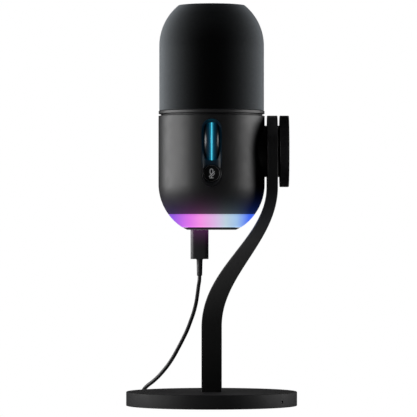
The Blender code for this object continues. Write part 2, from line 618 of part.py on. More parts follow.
def make_cable(looks):
    cable_tube("cable_lead", LEAD_ROUTE, looks["cable"])
    cable_tube("cable_tail", TAIL_ROUTE, looks["cable"])
    high = CABLE_LIFT + 4 * CABLE_R
    at = (COIL_X, COIL_Y, 0.0)
    turn("cable_coil", tube_profile(COIL_IN, COIL_OUT, CABLE_LIFT, high), looks["cable"], ROUND, centre=at)
    near, far = COIL_X + TIE_IN, COIL_X + COIL_OUT + GAP
    floor, roof = CABLE_LIFT - GAP, high + GAP
    tie = box("cable_tie", (near - TIE_STRAP, COIL_Y - TIE_HALF_WIDTH, floor - TIE_STRAP),
              (far + TIE_STRAP, COIL_Y + TIE_HALF_WIDTH, roof + TIE_STRAP), looks["strap"])
    carve(tie, box("bundle", (near, COIL_Y - 2 * TIE_HALF_WIDTH, floor),
                   (far, COIL_Y + 2 * TIE_HALF_WIDTH, roof), looks["strap"]))


def make_looks():
    return {
        "base": material("base_paint", (0.030, 0.030, 0.031), 0.2, 0.45),
        "arm": material("arm_paint", (0.012, 0.012, 0.013), 0.2, 0.5),
        "knob": material("knob_plastic", (0.012, 0.012, 0.013), 0.0, 0.5),
        "body": material("body_plastic", (0.022, 0.022, 0.024), 0.0, 0.4),
        "panel": material("panel_plastic", (0.012, 0.012, 0.014), 0.0, 0.3),
        "trim": material("trim_paint", (0.05, 0.05, 0.055), 0.4, 0.35),
        "grille": material("grille_weave", (0.025, 0.028, 0.032), 0.0, 0.8),
        "foam": material("foam", (0.02, 0.02, 0.02), 0.0, 0.95),
        "wheel": material("wheel_plastic", (0.015, 0.017, 0.02), 0.0, 0.25),
        "glow": material("light_guide", (0.10, 0.60, 0.80), 0.0, 0.3),
        "diffuser": material("ring_diffuser", (0.75, 0.55, 0.85), 0.0, 0.4),
        "cable": material("cable_jacket", (0.018, 0.018, 0.019), 0.0, 0.55),
        "rubber": material("rubber", (0.015, 0.015, 0.015), 0.0, 0.9),
        "strap": material("strap_fabric", (0.02, 0.02, 0.02), 0.0, 0.9),
        "frame": material("frame_plastic", (0.05, 0.05, 0.05), 0.0, 0.6),
        "board": material("board", (0.02, 0.10, 0.05), 0.0, 0.5),
        "steel": material("steel", (0.60, 0.60, 0.62), 1.0, 0.3),
        "brass": material("brass", (0.70, 0.52, 0.25), 1.0, 0.35),
        "copper": material("copper_wire", (0.75, 0.38, 0.20), 1.0, 0.35),
        "clear": material("clear_film", (0.80, 0.80, 0.82), 0.0, 0.2),
    }


def main():
    clear_scene()
    looks = make_looks()
    make_base(looks)
    make_arm(looks)
    make_pivot(looks)
    make_shell(looks)
    make_windscreen(looks)
    make_capsule(looks)
    make_panel(looks)
    make_wheel(looks)
    make_electronics(looks)
    make_near_plug(looks)
    make_far_plug(looks)
    make_cable(looks)


main()
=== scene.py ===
"""Looks of the desktop microphone: fine meshes and materials around the fixed CAD frame.

Shapes are written in millimetres and turned into metres where meshes are made.
"""
import json
from math import acos, asin, atan2, cos, degrees, hypot, pi, radians, sin, sqrt, tan

import bmesh
import bpy
from mathutils import Matrix, Vector


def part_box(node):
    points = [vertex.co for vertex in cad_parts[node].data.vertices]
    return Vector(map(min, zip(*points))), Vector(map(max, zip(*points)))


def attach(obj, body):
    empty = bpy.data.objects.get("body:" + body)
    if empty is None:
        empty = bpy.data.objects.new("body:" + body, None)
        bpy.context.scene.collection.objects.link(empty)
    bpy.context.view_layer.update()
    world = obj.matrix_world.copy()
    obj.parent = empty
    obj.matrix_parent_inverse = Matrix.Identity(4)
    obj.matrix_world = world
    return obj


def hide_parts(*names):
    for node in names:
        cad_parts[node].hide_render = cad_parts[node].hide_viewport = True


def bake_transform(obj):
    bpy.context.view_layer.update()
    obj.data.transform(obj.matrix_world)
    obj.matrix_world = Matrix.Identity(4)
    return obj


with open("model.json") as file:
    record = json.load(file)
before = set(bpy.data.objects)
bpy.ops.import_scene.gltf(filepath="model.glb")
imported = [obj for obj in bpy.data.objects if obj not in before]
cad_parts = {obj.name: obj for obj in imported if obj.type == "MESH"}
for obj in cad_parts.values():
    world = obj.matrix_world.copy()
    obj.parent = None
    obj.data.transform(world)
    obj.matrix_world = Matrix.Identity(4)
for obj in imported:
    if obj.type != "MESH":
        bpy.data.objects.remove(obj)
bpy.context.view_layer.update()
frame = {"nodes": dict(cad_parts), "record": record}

MM = 0.001
FINE = 192                  # sides of the large turned pieces


def low(node):
    return [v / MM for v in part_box(node)[0]]


def high(node):
    return [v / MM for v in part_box(node)[1]]


def ends(node, axis):
    return low(node)[axis], high(node)[axis]


def middle(node):
    return [(a + b) / 2 for a, b in zip(low(node), high(node))]


def halves(node):
    return [(b - a) / 2 for a, b in zip(low(node), high(node))]


# Camera ------------

CAMERA_AT = Vector((-0.002, -2.307, 0.1125))
CAMERA_AIM = Vector((-0.002, 0.0, 0.127))
LENS = 309.3


def make_camera():
    camera = bpy.data.objects.new("camera", bpy.data.cameras.new("camera"))
    camera.location = CAMERA_AT
    camera.rotation_euler = (CAMERA_AIM - CAMERA_AT).to_track_quat("-Z", "Y").to_euler()
    camera.data.lens = LENS
    camera.data.clip_end = 50.0
    bpy.context.collection.objects.link(camera)
    bpy.context.scene.camera = camera


# Mesh tools ------------

def add_object(name, shape, look, sharp=40):
    """Turn a bmesh in millimetres into a smooth-shaded object in metres."""
    bmesh.ops.recalc_face_normals(shape, faces=shape.faces)
    bmesh.ops.scale(shape, verts=shape.verts, vec=(MM, MM, MM))
    mesh = bpy.data.meshes.new(name)
    shape.to_mesh(mesh)
    shape.free()
    mesh.materials.append(look)
    mesh.shade_smooth()
    mesh.set_sharp_from_angle(angle=radians(sharp))
    item = bpy.data.objects.new(name, mesh)
    bpy.context.collection.objects.link(item)
    return item


def finish(item, body, *nodes, slot=None):
    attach(item, body)
    if nodes:
        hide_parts(*nodes)


def apply_changes(item, sharp):
    """Apply the modifiers and shade the result."""
    bpy.context.view_layer.update()
    graph = bpy.context.evaluated_depsgraph_get()
    result = bpy.data.meshes.new_from_object(item.evaluated_get(graph))
    item.modifiers.clear()
    item.data = result
    result.shade_smooth()
    result.set_sharp_from_angle(angle=radians(sharp))


def carve(item, *cutters, operation="DIFFERENCE"):
    """Apply Booleans and remove their cutters."""
    for cutter in cutters:
        change = item.modifiers.new("cut", "BOOLEAN")
        change.operation = operation
        change.object = cutter
    apply_changes(item, 40)
    for cutter in cutters:
        bpy.data.objects.remove(cutter, do_unlink=True)


def soften(item, width):
    """Round a piece's sharp edges."""
    bevel = item.modifiers.new("round", "BEVEL")
    bevel.width = width * MM
    bevel.segments = 2
    bevel.limit_method = "ANGLE"
    bevel.angle_limit = radians(60)
    bevel.use_clamp_overlap = True
    apply_changes(item, 50)


def arc(a, b, radius, start, end, steps=8):
    angles = (radians(start + (end - start) * k / steps) for k in range(steps + 1))
    return [(a + radius * cos(t), b + radius * sin(t)) for t in angles]


def ease(t):
    """Smooth step from 0 to 1."""
    t = min(1.0, max(0.0, t))
    return t * t * (3 - 2 * t)


def patch(shape, *corners):
    """A face between the corners, with repeated ones left out."""
    unique = list(dict.fromkeys(corners))
    if len(unique) > 2:
        shape.faces.new(unique)


def turned(name, profile, look, sides=FINE, axis="Z", centre=(0.0, 0.0, 0.0), ripple=None):
    """Turn a closed (radius, height) outline about an axis; ripple may vary the radius."""
    shape = bmesh.new()
    rings = []
    for radius, height in profile:
        count = sides if radius > 1e-6 else 1
        ring = []
        for k in range(count):
            angle = 2 * pi * k / sides
            r = ripple(angle, radius, height) if ripple and count > 1 else radius
            ring.append(shape.verts.new((r * cos(angle), r * sin(angle), height)))
        rings.append(ring)
    for first, second in zip(rings, rings[1:] + rings[:1]):
        if len(first) == len(second) == 1:
            continue
        for k in range(sides):
            after = (k + 1) % sides
            patch(shape, first[k % len(first)], first[after % len(first)],
                  second[after % len(second)], second[k % len(second)])
    if axis == "X":
        bmesh.ops.rotate(shape, verts=shape.verts, matrix=Matrix.Rotation(pi / 2, 3, "Y"))
    if axis == "Y":
        bmesh.ops.rotate(shape, verts=shape.verts, matrix=Matrix.Rotation(-pi / 2, 3, "X"))
    bmesh.ops.translate(shape, verts=shape.verts, vec=centre)
    return add_object(name, shape, look)


def block(name, sections, look, axis="Z"):
    """Loft closed outlines, given as (height, outline), and cap the ends.

    An outline is (x, y) along Z, (x, z) along Y or (y, z) along X.
    """
    def point(a, b, h):
        return {"Z": (a, b, h), "Y": (a, h, b), "X": (h, a, b)}[axis]

    shape = bmesh.new()
    rows = [[shape.verts.new(point(a, b, h)) for a, b in outline] for h, outline in sections]
    shape.faces.new(rows[0])
    shape.faces.new(rows[-1])
    for first, second in zip(rows, rows[1:]):
        join_rings(shape, first, second)
    return add_object(name, shape, look)


def join_rings(shape, first, second):
    """Quads between two closed rings of vertices."""
    for k in range(len(first)):
        after = (k + 1) % len(first)
        shape.faces.new((first[k], first[after], second[after], second[k]))


def prism(name, outline, low_end, high_end, look, axis="Z"):
    return block(name, [(low_end, outline), (high_end, outline)], look, axis)


def rounded(half_a, half_b, radius, centre=(0.0, 0.0)):
    points = []
    for sign_a, sign_b, start in ((1, 1, 0), (-1, 1, 90), (-1, -1, 180), (1, -1, 270)):
        points += arc(centre[0] + sign_a * (half_a - radius), centre[1] + sign_b * (half_b - radius),
                      radius, start, start + 90)
    return points


def pill(half_width, bottom, top, steps=24):
    return (arc(0.0, top - half_width, half_width, 0, 180, steps)
            + arc(0.0, bottom + half_width, half_width, 180, 360, steps))


def soft_block(name, half_a, half_b, corner, bottom, top, edge, look, centre, axis="Z"):
    """A rounded bar whose end edges are rounded too."""
    def section(height, inset):
        return height, rounded(half_a - inset, half_b - inset, corner - inset * 0.8, centre)

    turns = [radians(90 * k / 5) for k in range(6)]
    sections = [section(bottom + edge * (1 - cos(t)), edge * (1 - sin(t))) for t in turns]
    sections += [section(top - edge * (1 - sin(t)), edge * (1 - cos(t))) for t in turns]
    return block(name, sections, look, axis)


# Materials ------------

class Look:
    """A node material around one Principled shader."""

    def __init__(self, name, roughness=0.5, metallic=0.0, **sockets):
        self.material = bpy.data.materials.new(name)
        self.material.use_nodes = True
        self.tree = self.material.node_tree
        self.shader = self.tree.nodes["Principled BSDF"]
        self.shader.inputs["Roughness"].default_value = roughness
        self.shader.inputs["Metallic"].default_value = metallic
        for key, value in sockets.items():
            self.shader.inputs[key.replace("_", " ")].default_value = value
        self.coords = self.node("TexCoord").outputs["Object"]

    def node(self, kind, **settings):
        made = self.tree.nodes.new("ShaderNode" + kind)
        for key, value in settings.items():
            setattr(made, key, value)
        return made

    def link(self, source, target):
        self.tree.links.new(source, target)

    def value(self, operation, *terms):
        made = self.node("Math", operation=operation)
        for socket, term in zip(made.inputs, terms):
            if isinstance(term, (int, float)):
                socket.default_value = term
            else:
                self.link(term, socket)
        return made.outputs[0]

    def product(self, first, *others):
        for other in others:
            first = self.value("MULTIPLY", first, other)
        return first

    def axes(self):
        split = self.node("SeparateXYZ")
        self.link(self.coords, split.inputs[0])
        return split.outputs

    def noise(self, scale, detail=3.0, rough=0.5, coords=None):
        made = self.node("TexNoise")
        made.inputs["Scale"].default_value = scale
        made.inputs["Detail"].default_value = detail
        made.inputs["Roughness"].default_value = rough
        self.link(coords or self.coords, made.inputs["Vector"])
        return made.outputs["Fac"]

    def cells(self, scale, feature="F1"):
        made = self.node("TexVoronoi", feature=feature)
        made.inputs["Scale"].default_value = scale
        self.link(self.coords, made.inputs["Vector"])
        return made.outputs["Distance"]

    def ramp(self, source, stops):
        made = self.node("ValToRGB")
        points = made.color_ramp.elements
        while len(points) < len(stops):
            points.new(0.5)
        for point, (place, colour) in zip(points, stops):
            point.position = place
            point.color = (*colour, 1.0)
        self.link(source, made.inputs["Fac"])
        return made.outputs["Color"]

    def spread(self, source, from_low, from_high, to_low, to_high):
        made = self.node("MapRange")
        for socket, number in zip(list(made.inputs)[1:5], (from_low, from_high, to_low, to_high)):
            socket.default_value = number
        self.link(source, made.inputs["Value"])
        return made.outputs["Result"]

    def colour(self, source, dark, light):
        self.link(self.ramp(source, [(0.3, dark), (0.7, light)]), self.shader.inputs["Base Color"])

    def rough(self, source, least, most):
        self.link(self.spread(source, 0.3, 0.7, least, most), self.shader.inputs["Roughness"])

    def bump(self, source, strength, depth):
        made = self.node("Bump")
        made.inputs["Strength"].default_value = strength
        made.inputs["Distance"].default_value = depth * MM
        self.link(source, made.inputs["Height"])
        self.link(made.outputs["Normal"], self.shader.inputs["Normal"])

    def glow(self, colour, strength):
        if isinstance(colour, tuple):
            colour = (*colour, 1.0)
        for name, source in (("Emission Color", colour), ("Emission Strength", strength)):
            if isinstance(source, (float, tuple)):
                self.shader.inputs[name].default_value = source
            else:
                self.link(source, self.shader.inputs[name])


def grained(name, colour, vary=0.12, roughness=0.45, metallic=0.0, grain=2600.0, depth=0.02, strength=0.3,
            **sockets):
    """Moulded or coated surface: fine grain, slight colour and gloss variation."""
    look = Look(name, roughness, metallic, **sockets)
    blotch = look.noise(60.0, 4.0)
    look.colour(blotch, tuple(c * (1 - vary) for c in colour), tuple(c * (1 + vary) for c in colour))
    look.rough(look.noise(180.0, 3.0), roughness - 0.03, roughness + 0.03)
    look.bump(look.noise(grain, 2.0), strength, depth)
    return look


def linear(r, g, b):
    """An 8-bit display colour as linear light."""
    def one(v):
        v /= 255.0
        return v / 12.92 if v <= 0.04045 else ((v + 0.055) / 1.055) ** 2.4
    return (one(r), one(g), one(b))


VIOLET = (145, 80, 230)
ORCHID = (225, 115, 235)
PINK = (245, 145, 230)
LILAC = (225, 180, 230)
MIST = (190, 210, 225)
SKY = (160, 195, 235)
BLUE = (70, 110, 250)
RING_COLOURS = ((-25, VIOLET), (-14, ORCHID), (-7, PINK), (1, LILAC), (9, MIST), (16, SKY), (24, BLUE))
RING_REACH = 28.0


def ring_ramp(look):
    across = look.spread(look.axes()[0], -RING_REACH * MM, RING_REACH * MM, 0.0, 1.0)
    return look.ramp(across, [(0.5 + x / RING_REACH / 2, linear(*rgb)) for x, rgb in RING_COLOURS])


RING_TOP = 0.1233           # heights of the ring and the cap's edge, in metres as material nodes need
RING_BOTTOM = 0.1148
PLUG_TOP = 0.113
ARM_PAINTED_LIGHT = (               # grey of the coating with painted light and shade by height in metres: darkest at the foot, lighter on the slant and near the top
    (0.020, (0.004, 0.004, 0.004)), (0.054, (0.014, 0.014, 0.014)), (0.080, (0.050, 0.050, 0.050)),
    (0.106, (0.078, 0.078, 0.079)), (0.120, (0.056, 0.060, 0.070)), (0.140, (0.014, 0.014, 0.015)),
    (0.172, (0.014, 0.014, 0.015)), (0.185, (0.075, 0.075, 0.077)),
)
ARM_PAINTED_LIGHT_TOP = 0.2


def body_look():
    """Satin shell with a painted glow of the ring's light just above the ring."""
    look = grained("body_satin", (0.017, 0.017, 0.018), 0.10, 0.44, grain=3200.0, depth=0.012, strength=0.25)
    # painted light: the ring's colours glow on the shell, fading upwards from the ring
    painted_ring_spill = look.spread(look.axes()[2], RING_TOP + 0.0002, RING_TOP + 0.0227, 1.0, 0.0)
    look.glow(ring_ramp(look), look.product(look.value("POWER", painted_ring_spill, 4.0), 0.09))
    return look


def arm_look():
    look = grained("arm_coat_painted_light", (0.014, 0.014, 0.015), roughness=0.46, Specular_IOR_Level=0.35)
    # the arm's colour is a ramp of painted light and shade up its height
    place = look.spread(look.axes()[2], 0.0, ARM_PAINTED_LIGHT_TOP, 0.0, 1.0)
    stops = [(height / ARM_PAINTED_LIGHT_TOP, tone) for height, tone in ARM_PAINTED_LIGHT]
    look.link(look.ramp(place, stops), look.shader.inputs["Base Color"])
    return look


def plug_look():
    """Moulded plug with a painted glow of the ring's light at its top."""
    look = grained("plug_body", (0.048, 0.048, 0.049), 0.10, 0.42, grain=2400.0)
    near = look.spread(look.axes()[2], PLUG_TOP - 0.014, PLUG_TOP, 0.0, 1.0)
    # painted light: the ring's pink glow, fading down from the plug's top
    look.glow((1.0, 0.22, 0.95), look.product(look.value("POWER", near, 2.3), 0.055))
    return look


def chin_look():
    look = grained("chin_satin", (0.02, 0.02, 0.02), 0.12, 0.4, grain=3200.0, depth=0.012, strength=0.25)
    # painted light: a faint glow of the ring's colours over the whole cap
    look.glow(ring_ramp(look), 0.02)
    return look


def ring_look():
    """Lit diffuser, brighter along its lower edge."""
    look = Look("ring_diffuser", 0.4, Specular_IOR_Level=0.15)
    look.colour(look.noise(300.0), (0.040, 0.040, 0.042), (0.050, 0.050, 0.052))
    height = look.axes()[2]
    body = look.spread(height, RING_BOTTOM, RING_BOTTOM + 0.0014, 1.2, 0.98)
    top = look.spread(height, RING_TOP - 0.0018, RING_TOP, 1.0, 0.85)
    soft = look.spread(look.noise(120.0), 0.3, 0.7, 0.97, 1.03)
    look.glow(ring_ramp(look), look.product(body, top, soft))
    look.bump(look.noise(1800.0), 0.15, 0.01)
    return look


WEAVE_AROUND = 260.0        # threads in one turn
WEAVE_PITCH = 0.81
GRILLE_R = 33.7
SHOULDER_Z = 231.7          # the grille starts to round here


def woven(name, cylinder=True):
    """Tight knit over a frame: two crossing sets of threads with fuzz that catches the light, and a painted
    sheen that lightens the colour where the surface is seen side-on.
    """
    look = Look(name, 0.85, Sheen_Weight=0.8, Sheen_Roughness=0.28, Sheen_Tint=(0.78, 0.88, 1.0, 1.0),
                Specular_IOR_Level=0.05)
    x, y, z = look.axes()
    bearing = look.value("ARCTAN2", y, x)
    # painted shade: the painted sheen is weaker on the front and back of the dome
    dome = look.spread(z, (SHOULDER_Z - 4.0) * MM, (SHOULDER_Z + 20.0) * MM, 0.0, 0.75)
    ahead = look.value("POWER", look.value("SINE", bearing), 2.0)
    strength = look.product(look.value("SUBTRACT", 1.0, look.product(dome, ahead)), 0.34)
    per_thread = 2 * pi / (WEAVE_PITCH * MM)
    if cylinder:
        around = look.product(bearing, WEAVE_AROUND)
        radius = look.value("SQRT", look.value("ADD", look.product(x, x), look.product(y, y)))
        above = look.value("MAXIMUM", look.value("SUBTRACT", z, SHOULDER_Z * MM), 0.0)
        over = look.product(look.value("ARCTAN2", above, radius), GRILLE_R * MM)
        along = look.value("ADD", look.value("MINIMUM", z, SHOULDER_Z * MM), over)
        up = look.product(along, per_thread)
    else:
        around = look.product(x, per_thread)
        up = look.product(y, per_thread)
    cross = look.product(look.value("SINE", around), look.value("SINE", up))
    thread = look.spread(cross, -1.0, 1.0, 0.0, 1.0)
    height = look.value("ADD", thread, look.product(look.noise(4000.0, 2.0), 0.5))
    tone = look.value("ADD", look.product(thread, 0.6), look.product(look.noise(900.0, 3.0), 0.4))
    # painted sheen: the colour lightens as the surface turns side-on
    facing = look.node("LayerWeight").outputs["Facing"]
    painted_sheen = look.value("ADD", look.product(look.value("POWER", facing, 1.3), strength), 0.002)
    shade = look.product(painted_sheen, look.spread(tone, 0.2, 0.8, 0.7, 1.3))
    tint = look.node("VectorMath", operation="SCALE")
    tint.inputs[0].default_value = (0.93, 1.0, 1.06)
    look.link(shade, tint.inputs["Scale"])
    look.link(tint.outputs[0], look.shader.inputs["Base Color"])
    look.bump(height, 0.4, 0.12)
    return look


def wheel_look():
    """Dark translucent tyre with a painted glow of the band's light near its middle."""
    look = Look("wheel_tyre", 0.30)
    look.colour(look.noise(200.0), (0.010, 0.013, 0.016), (0.016, 0.020, 0.024))
    # painted light: the band's teal glow, fading out towards the tyre's sides
    near = look.spread(look.value("ABSOLUTE", look.axes()[0]), 0.0007, 0.0040, 1.0, 0.0)
    look.glow(linear(0, 90, 126), look.product(look.value("POWER", near, 1.8), 0.45))
    look.bump(look.noise(1500.0), 0.1, 0.01)
    return look


WHEEL_Z = 0.1695            # the wheel's middle, in metres


def panel_look():
    """Recess plastic with a painted glow of the band's light around the wheel."""
    look = grained("panel_satin", (0.014, 0.014, 0.016), 0.10, depth=0.01, strength=0.2,
                   Specular_IOR_Level=0.3)
    x, _, z = look.axes()
    # painted light: the band's glow, strongest around the wheel and dimmer at the sides
    away = look.value("ABSOLUTE", look.value("SUBTRACT", z, WHEEL_Z))
    beyond = look.spread(away, 0.0115, 0.0175, 1.0, 0.0)
    sides = look.spread(look.value("ABSOLUTE", x), 0.0, 0.0064, 1.0, 0.6)
    look.glow(linear(20, 72, 100), look.product(beyond, sides, 0.12))
    return look


def band_look():
    look = Look("light_band", 0.3)
    look.colour(look.noise(400.0), (0.02, 0.05, 0.06), (0.03, 0.06, 0.07))
    look.glow(linear(70, 196, 228), look.spread(look.noise(300.0), 0.3, 0.7, 0.96, 1.04))
    return look


def metal_look(name, colour, roughness, scale=(40.0, 40.0, 900.0)):
    """Plated or turned metal with fine drawn lines."""
    look = Look(name, roughness, 1.0)
    stretch = look.node("Mapping")
    stretch.inputs["Scale"].default_value = scale
    look.link(look.coords, stretch.inputs["Vector"])
    lines = look.noise(3.0, 4.0, 0.6, stretch.outputs[0])
    look.colour(lines, tuple(c * 0.85 for c in colour), colour)
    look.rough(lines, roughness - 0.06, roughness + 0.08)
    look.bump(lines, 0.15, 0.01)
    return look


def board_look():
    look = Look("circuit_board", 0.4)
    tracks = look.spread(look.cells(350.0, "DISTANCE_TO_EDGE"), 0.0, 0.12, 1.0, 0.0)
    look.link(look.ramp(tracks, [(0.3, (0.010, 0.055, 0.028)), (0.8, (0.03, 0.14, 0.07))]),
              look.shader.inputs["Base Color"])
    look.bump(tracks, 0.3, 0.05)
    return look


def icon_look():
    """Pale print with a faint painted glow."""
    look = grained("icon_print", (0.42, 0.42, 0.42), 0.05, 0.6, depth=0.005, strength=0.1)
    look.glow((0.95, 0.97, 1.0), 0.16)
    return look


def strap_look():
    """Hook and loop strap: short looped pile over a ribbed ground."""
    look = Look("strap_pile", 0.9, Sheen_Weight=0.4, Sheen_Roughness=0.5)
    ribs = look.value("SINE", look.product(look.axes()[1], 2 * pi / 0.0008))
    pile = look.noise(3500.0, 3.0)
    look.colour(pile, (0.008, 0.008, 0.009), (0.028, 0.028, 0.03))
    look.bump(look.value("ADD", look.product(ribs, 0.3), pile), 0.7, 0.12)
    return look


def foam_look():
    look = Look("open_foam", 0.95)
    cells = look.cells(1500.0)
    look.colour(cells, (0.02, 0.02, 0.02), (0.05, 0.05, 0.05))
    look.bump(cells, 0.8, 0.3)
    return look


def make_looks():
    looks = {
        "base": grained("base_coat", (0.017, 0.017, 0.018), roughness=0.60, Specular_IOR_Level=0.25),
        "arm": arm_look(),
        "knob": grained("knob_matt", (0.009, 0.009, 0.010), roughness=0.5, grain=2200.0, depth=0.03),
        "body": body_look(),
        "chin": chin_look(),
        "panel": panel_look(),
        "button": grained("button_satin", (0.012, 0.012, 0.013), 0.1, 0.34, depth=0.01, strength=0.2),
        # light grey rim: a painted highlight on the button's raised ring
        "rim": grained("rim_painted_highlight", (0.16, 0.16, 0.165), 0.08, 0.32, 0.4, depth=0.005, strength=0.1),
        "icon": icon_look(),
        "trim": grained("trim_coat", (0.028, 0.028, 0.029), 0.08, 0.45, depth=0.01, strength=0.2),
        "grille": woven("grille_weave"),
        "grille_top": woven("grille_top_weave", cylinder=False),
        "foam": foam_look(),
        "wheel": wheel_look(),
        "glow": band_look(),
        "diffuser": ring_look(),
        "cable": grained("cable_jacket", (0.024, 0.024, 0.025), roughness=0.38, grain=2200.0, strength=0.2),
        "plug": plug_look(),
        "rubber": grained("rubber_matt", (0.014, 0.014, 0.014), 0.2, 0.85, grain=1800.0, depth=0.05,
                          strength=0.4),
        "strap": strap_look(),
        "frame": grained("frame_moulded", (0.05, 0.05, 0.05), 0.15, 0.6, grain=1500.0, depth=0.03),
        "board": board_look(),
        "steel": metal_look("plated_steel", (0.60, 0.60, 0.62), 0.28),
        "brass": metal_look("turned_brass", (0.72, 0.55, 0.28), 0.32),
        "copper": metal_look("copper_winding", (0.75, 0.38, 0.20), 0.35, (10.0, 10.0, 4000.0)),
        "clear": grained("clear_film", (0.70, 0.70, 0.72), 0.05, 0.2, grain=1500.0, depth=0.01, strength=0.1),
    }
    return {slot: look.material for slot, look in looks.items()}


# Base and arm ------------

def make_base(looks):
    radius = high("base_cover")[0]
    bottom, top = ends("base_cover", 2)
    edge = 0.45
    skin = 2.2
    inner = radius - 3.0
    profile = [(inner, bottom)] + arc(radius - 0.3, bottom + 0.3, 0.3, -90, 0, 4)
    profile += arc(radius - edge, top - edge, edge, 0, 90, 8)
    profile += [(radius * k, top) for k in (0.9, 0.75, 0.5, 0.25)] + [(0.0, top)]
    profile += [(0.0, top - skin), (inner, top - skin)]
    disc = turned("base_disc", profile, looks["base"], 256)
    hole = turned("hole", [(0, -6), (1.0, -6), (1.0, 6), (0, 6)], looks["base"], 32, "X")
    x, y, z = middle("base_set_screw")
    place_hole = Matrix.Translation(Vector((0, 0, z)) * MM) @ Matrix.Rotation(atan2(y, x), 4, "Z")
    hole.data.transform(place_hole @ Matrix.Translation((radius * MM, 0, 0)))
    carve(disc, hole)
    finish(disc, "stand", "base_cover", slot="base")

    profile = [(0.0, -1.2), (0.8, -1.2), (0.8, 1.0), (0.65, 1.2), (0.45, 1.2), (0.4, 0.4), (0.0, 0.4)]
    grub = turned("side_screw", profile, looks["steel"], 24, "X")
    grub.data.transform(place_hole @ Matrix.Translation((hypot(x, y) * MM, 0, 0)))
    finish(grub, "stand", "base_set_screw", slot="steel")

    pad_r = high("foot_pad")[0]
    profile = [(0.0, 0.0), (pad_r - 9.0, 0.0), (pad_r - 8.6, 0.4), (pad_r - 7.4, 0.4), (pad_r - 7.0, 0.0)]
    profile += arc(pad_r - 0.5, 0.5, 0.5, -90, 0, 4) + [(pad_r, 1.6), (0.0, 1.6)]
    finish(turned("foot_ring", profile, looks["rubber"], 160), "stand", "foot_pad", slot="rubber")


ARM_BEND_LOW = 51.0
ARM_BEND_HIGH = 140.8
ARM_THICK_LOW = 13.05
ARM_THICK_HIGH = 6.7
ARM_TOP_X = 39.0
ARM_PULL_LOW = 35.7
ARM_PULL_HIGH = 34.25
ARM_THINNING = 0.765        # how soon the arm gets thinner along the bend
ARM_FOOT_HALF_DEPTH = 11.0
ARM_EDGE = 0.4
ARM_BEND_ROWS = 72
ARM_END_ROWS = 40
PIVOT_Z = 163.8
DISC_R = 23.0


def arm_line(at, bend):
    """Point, side direction and thickness on the arm's centre line, in (x, z).

    In the bend, at runs from 0 to 1; elsewhere it is a height.
    """
    if not bend:
        x, thick = (ARM_TOP_X, ARM_THICK_HIGH) if at > ARM_BEND_HIGH - 1.0 else (0.0, ARM_THICK_LOW)
        return Vector((x, at)), Vector((-1.0, 0.0)), thick
    t, s = at, 1.0 - at
    p0 = Vector((0.0, ARM_BEND_LOW))
    p1 = Vector((0.0, ARM_BEND_LOW + ARM_PULL_LOW))
    p2 = Vector((ARM_TOP_X, ARM_BEND_HIGH - ARM_PULL_HIGH))
    p3 = Vector((ARM_TOP_X, ARM_BEND_HIGH))
    point = p0 * s ** 3 + p1 * 3 * s * s * t + p2 * 3 * s * t * t + p3 * t ** 3
    slope = ((p1 - p0) * 3 * s * s + (p2 - p1) * 6 * s * t + (p3 - p2) * 3 * t * t).normalized()
    thick = ARM_THICK_LOW + (ARM_THICK_HIGH - ARM_THICK_LOW) * ease(t) ** ARM_THINNING
    return point, Vector((-slope.y, slope.x)), thick


def arm_rows():
    """Rows up the arm: (centre-line place, is it in the bend, half depth, outline direction)."""
    foot = high("base_cover")[2]
    drop = PIVOT_Z - low("stand_arm")[2]
    reach = hypot(ARM_FOOT_HALF_DEPTH, drop)
    lean = asin(DISC_R / reach) - asin(ARM_FOOT_HALF_DEPTH / reach)
    join_z = PIVOT_Z - DISC_R * sin(lean)
    outward = Vector((cos(lean), -sin(lean)))

    def half_at(z):
        return ARM_FOOT_HALF_DEPTH + (z - PIVOT_Z + drop) * tan(lean)

    def straight(start, end, first, steps=8):
        heights = (start + (end - start) * k / steps for k in range(first, steps + 1))
        return [(z, False, half_at(z), outward) for z in heights]

    rows = straight(foot, ARM_BEND_LOW, 0)
    for k in range(1, ARM_BEND_ROWS + 1):
        t = k / ARM_BEND_ROWS
        rows.append((t, True, half_at(arm_line(t, True)[0].y), outward))
    rows += straight(ARM_BEND_HIGH, join_z, 1)
    for k in range(1, ARM_END_ROWS + 1):
        angle = -lean + (pi / 2 + lean) * k / ARM_END_ROWS
        rows.append((PIVOT_Z + DISC_R * sin(angle), False, DISC_R * cos(angle),
                     Vector((cos(angle), sin(angle)))))
    return rows


def make_arm(looks):
    """The spoon outline, rounded along its edge, then carried along the S-shaped centre line."""
    shape = bmesh.new()
    across = 6
    turns = [radians(90 * k / 5) for k in range(5, -1, -1)]
    profile = [(ARM_EDGE * (1 - cos(t)), 1, ARM_EDGE * (1 - sin(t))) for t in turns]
    profile += [(inset, -1, drop) for inset, _, drop in profile[::-1]]

    def place(row, y, rise, side, drop):
        point, across_dir, thick = arm_line(*row[:2])
        offset = side * (thick / 2 - drop)
        return shape.verts.new((point.x + across_dir.x * offset, y, point.y + across_dir.y * offset + rise))

    rights, lefts, fronts, backs = [], [], [], []
    rows = arm_rows()
    for row in rows:
        half, lean = row[2:]
        top = row is rows[-1]
        right, left = [], []
        for inset, side, drop in profile:
            y, rise = half - lean.x * inset, -lean.y * inset
            right.append(place(row, 0.0 if top else y, rise, side, drop))
            left.append(right[-1] if top else place(row, -y, rise, side, drop))
        rights.append(right)
        lefts.append(left)
        for store, column in ((fronts, 0), (backs, -1)):
            inset, side, drop = profile[column]
            line = [right[column]]
            for k in range(1, 1 if top else across):
                y = (half - lean.x * inset) * (1 - 2 * k / across)
                line.append(place(row, y, -lean.y * inset, side, drop))
            line += [left[column]] * (across + 1 - len(line))
            store.append(line)

    for grid in (rights, lefts, fronts, backs):
        for first, second in zip(grid, grid[1:]):
            for k in range(len(first) - 1):
                patch(shape, first[k], first[k + 1], second[k + 1], second[k])
    bottom = rights[0] + backs[0][1:-1] + lefts[0][::-1] + fronts[0][1:-1][::-1]
    shape.faces.new(bottom)
    finish(add_object("arm_bar", shape, looks["arm"], 60), "stand", "stand_arm", slot="arm")


